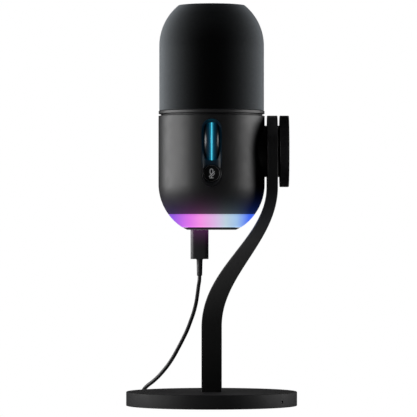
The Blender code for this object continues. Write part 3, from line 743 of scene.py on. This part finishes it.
def make_pivot(looks):
    pivot = (0.0, 0.0, PIVOT_Z)
    bore = 4.05
    radius = high("pivot_boss")[2] - PIVOT_Z
    outer = high("pivot_boss")[0] + 0.15
    profile = [(bore, 27.0), (radius, 27.0)] + arc(radius - 0.5, outer - 0.5, 0.5, 0, 90, 5) + [(bore, outer)]
    collar = turned("boss_collar", profile, looks["arm"], FINE, "X", pivot)
    finish(collar, "head", "pivot_boss", slot="arm")

    near, far = ends("friction_washer", 0)
    near, far = near - 0.15, far + 0.2
    profile = [(bore, near), (radius, near), (radius, far), (bore, far)]
    washer = turned("washer", profile, looks["rubber"], 128, "X", pivot)
    finish(washer, "stand", "friction_washer", slot="rubber")

    inner, outer = ends("clamp_knob", 0)
    ridges = 96

    def knurl(angle, r, height):
        if r < DISC_R - 0.45 or not inner + 0.8 < height < outer - 1.0:
            return r
        return r - 0.11 + 0.11 * cos(ridges * angle)

    rim = DISC_R
    profile = [(7.3, inner), (rim - 0.9, inner)] + arc(rim - 0.3, inner + 0.3, 0.3, -90, 0, 4)
    profile += [(rim, inner + 0.5), (rim, inner + 1.0), (rim, outer - 1.2), (rim, outer - 0.8)]
    profile += arc(rim - 0.5, outer - 0.6, 0.5, 0, 80, 6)
    profile += [(rim - 2.2, outer - 0.15), (rim - 2.9, outer - 0.5), (rim - 3.4, outer - 0.5)]
    profile += [(rim - 4.2, outer - 0.3), (rim * 0.5, outer - 0.08), (0.0, outer)]
    profile += [(0.0, outer - 1.8), (7.3, outer - 1.8)]
    knob = turned("knob_wheel", profile, looks["knob"], ridges * 6, "X", pivot, knurl)
    finish(knob, "knob", "clamp_knob", slot="knob")


# Head ------------

BODY_R = 34.2
CHIN_R = 33.1
CHIN_Z = 142.8
WALL = 2.2
CAP_SCREW_Y = 10.0
WHEEL_R = 15.75
TYRE = 5.04                 # half width of the wheel
TYRE_SQUARE = 3.2           # how square its rounded section is; 2 would be a circle


def chin_radius(z):
    drop = min(0.0, z - CHIN_Z)
    return BODY_R - CHIN_R + sqrt(CHIN_R ** 2 - drop ** 2)


def chin_arc(bottom, top, inset=0.0, steps=24):
    heights = (bottom + (top - bottom) * k / steps for k in range(steps + 1))
    return [(chin_radius(z) - inset, z) for z in heights]


def make_shell(looks):
    ring_low, ring_high = ends("light_ring", 2)
    top = high("body_shell")[2]
    gap = 0.08
    seam = ring_high + gap
    outside = chin_arc(seam, CHIN_Z) + [(BODY_R, 150 + 4.5 * k) for k in range(8)]
    outside += arc(BODY_R - 0.35, top - 0.35, 0.35, 0, 90, 5)
    inside = [(BODY_R - WALL, top)] + chin_arc(seam, CHIN_Z, WALL, 12)[::-1]
    shell = turned("head_shell", outside + inside, looks["body"], 256)
    half, _, panel_top = high("control_bezel")
    window = pill(half + gap, low("control_bezel")[2] - gap, panel_top + gap, 32)
    cut = prism("window", window, -40.0, -20.0, looks["body"], "Y")
    port_r = high("pivot_boss")[2] - PIVOT_Z + 0.15
    port = turned("port", [(0, 20), (port_r, 20), (port_r, 40), (0, 40)], looks["body"], 128, "X",
                  (0.0, 0.0, PIVOT_Z))
    carve(shell, cut, port)
    finish(shell, "head", "body_shell", slot="body")

    outside = chin_arc(ring_low + 0.1, ring_high, 0.0, 16)
    inside = chin_arc(ring_low + 0.1, ring_high, 2.5, 6)[::-1]
    ring = turned("ring_light", outside + inside, looks["diffuser"], 256)
    finish(ring, "head", "light_ring", slot="diffuser")

    cap_low, cap_high = low("bottom_cap")[2], ring_low
    cap_r = 16.1
    spigot_r, spigot_top = 15.2, 117.0
    profile = [(0.0, cap_low), (6.0, cap_low), (12.0, cap_low)]
    profile += arc(cap_r - 0.4, cap_low + 0.4, 0.4, -90, -30, 4)
    profile += [(chin_radius(cap_high) - 0.15, cap_high - 0.05), (spigot_r, cap_high),
                (spigot_r, spigot_top), (0.0, spigot_top)]
    cap = turned("chin_cap", profile, looks["chin"], 160)
    plug_x = middle("usb_c_overmold")[0]
    cutters = [prism("port", rounded(4.9, 2.05, 2.0, (plug_x, 0.0)), 110.0, 120.0, looks["chin"])]
    for side in (-1, 1):
        centre = (0.0, side * CAP_SCREW_Y, 0.0)
        sink = [(0, 110), (2.3, 110), (2.3, 115.3), (1.2, 115.3), (1.2, 119), (0, 119)]
        cutters.append(turned("sink", sink, looks["chin"], 32, centre=centre))
    carve(cap, *cutters)
    finish(cap, "head", "bottom_cap", slot="body")
    for node, side in (("cap_screw_front", -1), ("cap_screw_rear", 1)):
        y = side * CAP_SCREW_Y
        profile = [(0.0, 113.75), (1.6, 113.75), (2.0, 114.0), (2.0, 114.9), (1.0, 115.0), (1.0, 121.2),
                   (0.0, 121.2)]
        screw = turned(node + "_fine", profile, looks["steel"], 40, centre=(0.0, y, 0.0))
        for size in ((1.2, 0.18), (0.18, 1.2)):
            slot = rounded(*size, 0.08, (0.0, y))
            carve(screw, prism("slot", slot, 113.0, 114.4, looks["steel"]))
        finish(screw, "head", node, slot="steel")

    profile = [(0.0, 186.0), (31.4, 186.0), (31.4, 186.95), (32.7, 186.95), (32.7, 187.3), (30.9, 187.3),
               (30.9, 189.2), (0.0, 189.2)]
    finish(turned("seam_plate", profile, looks["knob"], 160), "head", "bulkhead", slot="frame")


def make_windscreen(looks):
    trim_low, trim_high = low("grille_trim_ring")[2] + 0.15, high("grille_trim_ring")[2]
    trim_r = high("grille_trim_ring")[0]
    bore, edge = 31.3, 0.35
    profile = [(bore, trim_low)] + arc(trim_r - edge, trim_low + edge, edge, -90, 0, 4)
    profile += arc(trim_r - edge, trim_high - edge, edge, 0, 90, 4) + [(bore, trim_high)]
    finish(turned("grille_trim", profile, looks["trim"], 256), "head", "grille_trim_ring", slot="trim")

    bottom = low("windscreen_grille")[2]
    flat = 21.3
    top_angle = degrees(acos(flat / GRILLE_R))
    outside = [(GRILLE_R - 0.2, bottom - 0.1), (GRILLE_R - 0.05, bottom + 0.05), (GRILLE_R, bottom + 0.4)]
    outside += [(GRILLE_R, bottom + (SHOULDER_Z - bottom) * k / 12) for k in range(1, 12)]
    outside += arc(0.0, SHOULDER_Z, GRILLE_R, 0, top_angle, 32)
    inside = arc(0.0, SHOULDER_Z, GRILLE_R - 1.0, top_angle, 0, 12) + [(GRILLE_R - 1.0, bottom)]
    finish(turned("grille_sleeve", outside + inside, looks["grille"], 256), "head",
           "windscreen_grille", slot="grille")

    top = high("grille_top")[2]
    rim = SHOULDER_Z + sqrt(GRILLE_R ** 2 - flat ** 2)
    profile = [(0.0, rim - 1.1), (flat - 2.4, rim - 1.1), (flat - 0.9, rim - 0.35), (flat - 0.35, rim - 0.05),
               (flat - 0.9, rim + 0.12)]
    lip = rim + 0.12
    profile += [(flat * k, lip + (top - lip) * (1 - k * k) ** 0.8) for k in (0.9, 0.75, 0.5, 0.25)]
    profile += [(0.0, top)]
    finish(turned("grille_crown", profile, looks["grille_top"], 160), "head", "grille_top", slot="grille")


def wheel_opening(y):
    """Outline of the wheel's own section at depth y, with clearance all round."""
    gap, steps = 0.12, 20
    _, hub_y, hub_z = middle("wheel_light_band")
    reach = sqrt(WHEEL_R ** 2 - (y - hub_y) ** 2) + gap
    right = []
    for k in range(steps + 1):
        rise = reach * sin(radians(90 * k / steps))
        spread = max(0.0, hypot(y - hub_y, rise - gap * rise / reach) - WHEEL_R + TYRE)
        width = TYRE * max(0.0, 1 - (spread / TYRE) ** TYRE_SQUARE) ** (1 / TYRE_SQUARE) + gap
        right.append((width if k < steps else 0.0, rise))
    upper = right + [(-a, b) for a, b in right[-2::-1]]
    lower = [(a, -b) for a, b in upper[-2:0:-1]]
    return [(a, hub_z + b) for a, b in upper + lower]


SCOOP_FADE_HIGH = 164.0     # the scoop is full depth above this
SCOOP_FADE_LOW = 152.0      # and nearly flush with the head below this
SCOOP_FLUSH = -33.2
BEAD_R = 5.15               # the raised ring on the button


def make_panel(looks):
    half, back, top = high("control_bezel")
    bottom = low("control_bezel")[2]
    floor = -30.0
    look = looks["panel"]
    bezel = prism("panel_bezel", pill(half, bottom, top, 32), -40.0, back, look, "Y")
    skin = turned("skin", [(0, 100), (BODY_R - 0.03, 100), (BODY_R - 0.03, 200), (0, 200)], look, 512)
    carve(bezel, skin, operation="INTERSECT")
    sections = []
    fillet, steps = 3.1, 12
    for k in range(steps + 1):
        turn = radians(88 * k / steps)
        inset = 0.12 + fillet * (1 - sin(turn))
        outline = pill(half - inset, bottom + inset, top - inset, 32)
        sections.append((floor - fillet * (1 - cos(turn)), outline))
    sections.append((-45.0, pill(half - 0.05, bottom + 0.05, top - 0.05, 32)))
    scoop = block("scoop", sections, look, "Y")
    for vert in scoop.data.vertices:
        near = (SCOOP_FADE_HIGH - vert.co.z / MM) / (SCOOP_FADE_HIGH - SCOOP_FADE_LOW)
        vert.co.y += ease(near) * (SCOOP_FLUSH - floor) * MM
    sections = [(y, wheel_opening(y)) for y in (-28.0, -28.4, -28.8, -29.2, -29.6, floor)]
    sections.append((-45.0, sections[-1][1]))
    slot = block("slot", sections, look, "Y")
    button_z = middle("mute_button")[2]
    hole_r = high("mute_button")[0] + 0.05
    profile = [(0, -45), (hole_r + 0.6, -45), (hole_r + 0.6, -33.1), (hole_r + 0.1, -32.6), (hole_r, -31.4),
               (hole_r, -20), (0, -20)]
    hole = turned("hole", profile, look, 96, "Y", (0, 0, button_z))
    carve(bezel, scoop, slot, hole)
    finish(bezel, "head", "control_bezel", slot="panel")

    front, rear = ends("mute_button", 1)
    r = high("mute_button")[0]
    profile = [(0.0, front + 0.42), (2.0, front + 0.40), (3.4, front + 0.36), (4.5, front + 0.33),
               (4.8, front + 0.3), (BEAD_R, front + 0.28), (5.5, front + 0.32), (r, front + 0.45), (r, rear),
               (0.0, rear)]
    finish(turned("button_cap", profile, looks["button"], 96, "Y", (0, 0, button_z)), "button",
           "mute_button", slot="panel")
    # the raised ring is light grey as a painted highlight
    bead = arc(BEAD_R, front + 0.06, 0.2, 0, 330, 11)
    finish(turned("button_rim", bead, looks["rim"], 96, "Y", (0, 0, button_z)), "button", slot="panel")
    make_icon(looks, front + 0.38, button_z)


def stroke(shape, points, width, front, depth, closed=False):
    """A flat line of even width, standing proud of the button towards -Y."""
    count = len(points)
    edges = []
    for k in range(count):
        before = points[k - 1] if closed or k else points[k]
        after = points[(k + 1) % count] if closed or k < count - 1 else points[k]
        along = (Vector(after) - Vector(before)).normalized()
        side = Vector((-along.y, along.x)) * width / 2
        at = Vector(points[k])
        edges.append([(p.x, y, p.y) for y in (front - depth, front) for p in (at + side, at - side)])
    rings = [[shape.verts.new(edge[i]) for i in (0, 1, 3, 2)] for edge in edges]
    pairs = list(zip(rings, rings[1:]))
    if closed:
        pairs.append((rings[-1], rings[0]))
    else:
        shape.faces.new(rings[0])
        shape.faces.new(rings[-1])
    for first, second in pairs:
        join_rings(shape, first, second)


def make_icon(looks, front, z):
    """Generic microphone with a slash, printed on the button."""
    shape = bmesh.new()
    depth, width = 0.07, 0.42
    x, half = -0.1, 0.88
    capsule = arc(x, z + 2.0, half, 0, 180, 10) + arc(x, z + 0.45, half, 180, 360, 10)
    stroke(shape, capsule, width, front, depth, closed=True)
    for line in (arc(x, z + 0.45, 1.9, 275, 350, 8), [(x, z - 1.6), (x, z - 2.6)],
                 [(x - 1.3, z - 2.85), (x + 1.3, z - 2.85)]):
        stroke(shape, line, width, front, depth)
    stroke(shape, [(1.9, z + 1.3), (-1.65, z - 2.15)], width, front, depth + 0.03)
    finish(add_object("mute_icon", shape, looks["icon"]), "button", slot="panel")


def make_wheel(looks):
    hub = (0.0, *middle("wheel_light_band")[1:])
    rim = WHEEL_R - TYRE
    for node, side in (("gain_wheel_left", -1), ("gain_wheel_right", 1)):
        first, last, steps = 84.0, -50.0, 28
        profile = []
        for k in range(steps + 1):
            a = radians(first + (last - first) * k / steps)
            bulge = abs(sin(a)) ** (2 / TYRE_SQUARE) * (1 if a > 0 else -1)
            profile.append((rim + TYRE * bulge, side * TYRE * cos(a) ** (2 / TYRE_SQUARE)))
        profile += [(6.6, side * 2.6), (1.3, side * 2.6), (1.3, side * 0.79)]
        item = turned(node.replace("gain", "tyre"), profile, looks["wheel"], 128, "X", hub)
        finish(item, "wheel", node, slot="wheel")
    half = 0.54
    inner, edge, bulge = 11.5, WHEEL_R - 0.18, WHEEL_R - 0.05
    profile = [(inner, -half), (edge, -half), (bulge, -half * 0.7), (WHEEL_R, 0.0),
               (bulge, half * 0.7), (edge, half), (inner, half)]
    band = turned("band_ring", profile, looks["glow"], 160, "X", hub)
    finish(band, "wheel", "wheel_light_band", slot="glow")


# Plugs and cable ------------

CABLE_D = 2.5
LEAD_ROUTE = (
    (-7.75, 0.0, 83.9), (-7.9, 0.1, 80.5), (-8.4, 1.0, 77.4), (-9.15, 2.4, 71.6),
    (-10.1, 4.4, 65.7), (-11.6, 6.9, 59.9), (-13.65, 9.8, 54.0), (-15.9, 13.0, 48.1),
    (-18.7, 16.6, 42.2), (-21.8, 20.4, 36.2), (-25.1, 24.2, 30.2), (-29.1, 28.4, 24.2),
    (-34.1, 32.6, 18.2), (-38.4, 35.9, 14.1), (-41.2, 38.3, 11.9), (-43.6, 41.2, 9.6),
    (-45.6, 45.6, 6.4), (-46.8, 51.5, 3.6), (-47.8, 58.5, 2.5), (-48.4, 67.0, 2.3),
    (-48.6, 76.5, 2.3),
)
TAIL_ROUTE = (
    (-4.5, 118.6, 4.2), (3.5, 116.6, 4.0), (11.5, 113.8, 3.8), (19.0, 109.4, 3.5),
    (25.2, 104.0, 3.4), (29.4, 98.4, 3.3), (31.4, 93.6, 3.3), (32.0, 89.4, 3.3),
)
COIL_X, COIL_Y = -18.0, 88.0
COIL_LIFT = 1.0
COIL_OUTER = 29.7           # centre of the outermost turn
COIL_INNER = 13.9           # centre of the innermost one
TURN_POINTS = 40
TUBE_SIDES = 12


def smooth_route(points, steps):
    """Read points from a Catmull-Rom curve through the route's own points."""
    knots = [Vector(p) for p in points]
    knots = [knots[0] * 2 - knots[1], *knots, knots[-1] * 2 - knots[-2]]
    result = []
    for a, b, c, d in zip(knots, knots[1:], knots[2:], knots[3:]):
        for k in range(steps):
            t = k / steps
            result.append(0.5 * (2 * b + (c - a) * t + (2 * a - 5 * b + 4 * c - d) * t ** 2
                                 + (3 * b - a - 3 * c + d) * t ** 3))
    return [*result, knots[-2]]


def coil_turns():
    """Two flat layers: in along the lower one, then out along the upper one, clockwise from above."""
    turns = (COIL_OUTER - COIL_INNER) / CABLE_D
    lower, upper = COIL_LIFT + CABLE_D / 2, COIL_LIFT + CABLE_D * 1.5
    start = pi - 0.12
    end = pi / 2 - 0.28
    total = start - end + 2 * pi * round(2 * turns - (start - end) / (2 * pi))
    span = total / 2
    points = []
    count = int(total / (2 * pi) * TURN_POINTS)
    for k in range(count + 1):
        swept = total * k / count
        angle = start - swept
        inward = min(swept, span) - max(0.0, swept - span)
        radius = COIL_OUTER - (COIL_OUTER - COIL_INNER) * inward / span
        rise = ease((swept - span + pi * 0.35) / (pi * 0.7))
        points.append(Vector((COIL_X + radius * cos(angle), COIL_Y + radius * sin(angle),
                              lower + (upper - lower) * rise)))
    return points


def tube(name, points, radius, look):
    """A round tube along a path, without twist, its ends closed."""
    shape = bmesh.new()
    rings = []
    normal = None
    for k, point in enumerate(points):
        before, after = points[max(0, k - 1)], points[min(len(points) - 1, k + 1)]
        along = (after - before).normalized()
        if normal is None:
            normal = along.orthogonal()
        normal = (normal - along * normal.dot(along)).normalized()
        side = along.cross(normal)
        rings.append([shape.verts.new(point + (normal * cos(a) + side * sin(a)) * radius)
                      for a in (2 * pi * i / TUBE_SIDES for i in range(TUBE_SIDES))])
    for first, second in zip(rings, rings[1:]):
        join_rings(shape, first, second)
    shape.faces.new(rings[0])
    shape.faces.new(rings[-1])
    return add_object(name, shape, look, 60)


def make_near_plug(looks):
    bottom = low("usb_c_overmold")[2]
    centre = (middle("usb_c_overmold")[0], 0.0)
    half_x, half_y, _ = halves("usb_c_overmold")
    body = soft_block("plug_near", half_x, half_y, 2.7, bottom - 0.15, low("bottom_cap")[2] - 0.04, 0.2,
                      looks["plug"], centre)
    finish(body, "head", "usb_c_overmold", slot="cable")
    end, start = low("usb_c_relief")[2] - 0.5, bottom - 0.1
    profile = [(0.0, end)] + arc(1.45, end + 0.25, 0.25, -90, -10, 3)
    profile += [(1.78, end + 3.0), (1.88, end + 7.0), (1.95, start - 0.8), (2.25, start), (0.0, start)]
    relief = turned("plug_near_relief", profile, looks["plug"], 48, centre=(centre[0], 0.0, 0.0))
    finish(relief, "head", "usb_c_relief", slot="cable")
    return body, relief


def make_far_plug(looks):
    centre = middle("usb_a_overmold")[::2]
    half_x, _, half_z = halves("usb_a_overmold")
    body = soft_block("plug_far", half_x, half_z, 1.5, *ends("usb_a_overmold", 1), 0.5, looks["plug"],
                      centre, "Y")
    finish(body, "stand", "usb_a_overmold", slot="cable")
    start, end = low("usb_a_relief")[1] - 0.2, high("usb_a_relief")[1]
    profile = [(0.0, start), (3.0, start)]
    for k in range(4):
        at = start + 1.0 + 1.5 * k
        r = 2.85 - 0.25 * k
        profile += [(r, at), (r - 0.5, at + 0.1), (r - 0.5, at + 0.55), (r - 0.1, at + 0.65)]
    profile += [(1.75, end - 0.3), (1.6, end), (0.0, end)]
    relief = turned("plug_far_relief", profile, looks["plug"], 48, "Y", (centre[0], 0.0, centre[1]))
    finish(relief, "stand", "usb_a_relief", slot="cable")

    mouth_y, back_y = ends("usb_a_shell", 1)
    look = looks["steel"]
    shell = prism("plug_far_shell", rounded(6.0, 2.25, 0.5, centre), mouth_y, back_y + 0.3, look, "Y")
    mouth = prism("mouth", rounded(5.7, 1.95, 0.3, centre), mouth_y - 2.0, back_y - 0.6, look, "Y")
    carve(shell, mouth)
    windows = [prism("window", rounded(1.15, 1.15, 0.15, (centre[0] + side * 2.9, mouth_y + 6.6)),
                     centre[1] + 1.5, centre[1] + 3.0, look) for side in (-1, 1)]
    carve(shell, *windows)
    outline = rounded(5.0, 0.55, 0.1, (centre[0], centre[1] + 0.65))
    tongue = prism("tongue", outline, mouth_y + 0.6, back_y - 0.3, looks["frame"], "Y")
    carve(shell, tongue, operation="UNION")
    finish(shell, "stand", "usb_a_shell", slot="steel")
    return body, relief, shell


def make_tie(looks):
    """A strap once round the coil."""
    centre = middle("cable_tie")[::2]
    half_x, half, half_z = halves("cable_tie")
    thick = 0.62
    edge = 1.6
    outer = rounded(half_x, half_z, edge, centre)
    inner = rounded(half_x - thick, half_z - thick, edge - thick, centre)
    shape = bmesh.new()
    rows = []
    for y, line in ((-half, inner), (-half, outer), (half, outer), (half, inner)):
        rows.append([shape.verts.new((a, COIL_Y + y, b)) for a, b in line])
    for first, second in zip(rows, rows[1:] + rows[:1]):
        join_rings(shape, first, second)
    strap = add_object("tie_strap", shape, looks["strap"], 50)
    soften(strap, 0.12)
    finish(strap, "stand", "cable_tie", slot="strap")
    return strap


def make_cable(looks):
    lead = smooth_route(LEAD_ROUTE, 5)
    tail = smooth_route(TAIL_ROUTE, 6)
    coil = coil_turns()
    points = lead[:-4] + smooth_joint(lead[-4], lead[-5], coil[3], coil[4], 8) + coil[4:-4]
    points += smooth_joint(coil[-4], coil[-5], tail[3], tail[4], 8) + tail[4:]
    body, relief = make_near_plug(looks)
    far = make_far_plug(looks)
    strap = make_tie(looks)
    cable = tube("usb_cable", points, CABLE_D / 2, looks["cable"])
    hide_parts("cable_lead", "cable_coil", "cable_tail")
    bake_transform(cable)


def smooth_joint(a, before_a, b, after_b, steps):
    """Points from a to just before b, leaving and arriving along the neighbours' directions."""
    reach = (b - a).length
    go, come = (a - before_a).normalized() * reach, (after_b - b).normalized() * reach
    result = []
    for k in range(steps):
        t = k / steps
        result.append(a * (2 * t ** 3 - 3 * t ** 2 + 1) + go * (t ** 3 - 2 * t ** 2 + t)
                      + b * (3 * t ** 2 - 2 * t ** 3) + come * (t ** 3 - t ** 2))
    return result


# Carried-over nodes, stage and light ------------

def dress_nodes(looks):
    """Give each node that stays visible the material of its slot."""
    slots = {entry["node"]: entry["material_slot"] for entry in frame["record"]["subparts"]}
    for node, item in frame["nodes"].items():
        item = bpy.data.objects.get(item) if isinstance(item, str) else item
        look = looks[slots[node]]
        item.data.materials.clear()
        item.data.materials.append(look)


def two_way(owner, bounced, seen, out_kind):
    """Show one shader to the camera and another to bounced light; each is (kind, colour)."""
    owner.use_nodes = True
    tree = owner.node_tree
    tree.nodes.clear()
    mix = tree.nodes.new("ShaderNodeMixShader")
    path = tree.nodes.new("ShaderNodeLightPath")
    tree.links.new(path.outputs["Is Camera Ray"], mix.inputs[0])
    for place, (kind, colour) in enumerate((bounced, seen), 1):
        made = tree.nodes.new(kind)
        made.inputs["Color"].default_value = (*colour, 1.0)
        tree.links.new(made.outputs[0], mix.inputs[place])
    tree.links.new(mix.outputs[0], tree.nodes.new(out_kind).inputs["Surface"])


WHITE = (1.0, 1.0, 1.0)
FLOOR_BOUNCE = (0.22, 0.22, 0.22)
FILL = (0.006, 0.0062, 0.0065)


def make_floor():
    shape = bmesh.new()
    bmesh.ops.create_grid(shape, x_segments=1, y_segments=1, size=30000.0)
    look = bpy.data.materials.new("floor")
    two_way(look, ("ShaderNodeBsdfDiffuse", FLOOR_BOUNCE), ("ShaderNodeEmission", WHITE),
            "ShaderNodeOutputMaterial")
    floor = add_object("floor", shape, look)
    floor.location.z = -0.0002


def make_world():
    world = bpy.data.worlds.new("studio")
    bpy.context.scene.world = world
    two_way(world, ("ShaderNodeBackground", FILL), ("ShaderNodeBackground", WHITE), "ShaderNodeOutputWorld")


def add_softbox(name, at, aim, width, height, power):
    data = bpy.data.lights.new(name, "AREA")
    data.shape = "RECTANGLE"
    data.size = width
    data.size_y = height
    data.energy = power
    item = bpy.data.objects.new(name, data)
    item.location = at
    item.rotation_euler = (Vector(aim) - Vector(at)).to_track_quat("-Z", "Y").to_euler()
    bpy.context.collection.objects.link(item)


def make_lights():
    aim = (0.0, 0.0, 0.15)
    add_softbox("left_box", (-1.25, -0.08, 0.19), aim, 1.7, 0.74, 22.5)
    add_softbox("right_box", (1.25, 0.1, 0.19), aim, 1.4, 0.74, 15.0)
    add_softbox("back_box", (0.0, 1.5, 0.75), aim, 1.6, 0.35, 0.8)


def main():
    make_camera()
    looks = make_looks()
    make_cable(looks)
    dress_nodes(looks)
    make_base(looks)
    make_arm(looks)
    make_pivot(looks)
    make_shell(looks)
    make_windscreen(looks)
    make_panel(looks)
    make_wheel(looks)
    make_floor()
    make_world()
    make_lights()
    scene = bpy.context.scene
    scene.view_settings.view_transform = "Standard"


main()
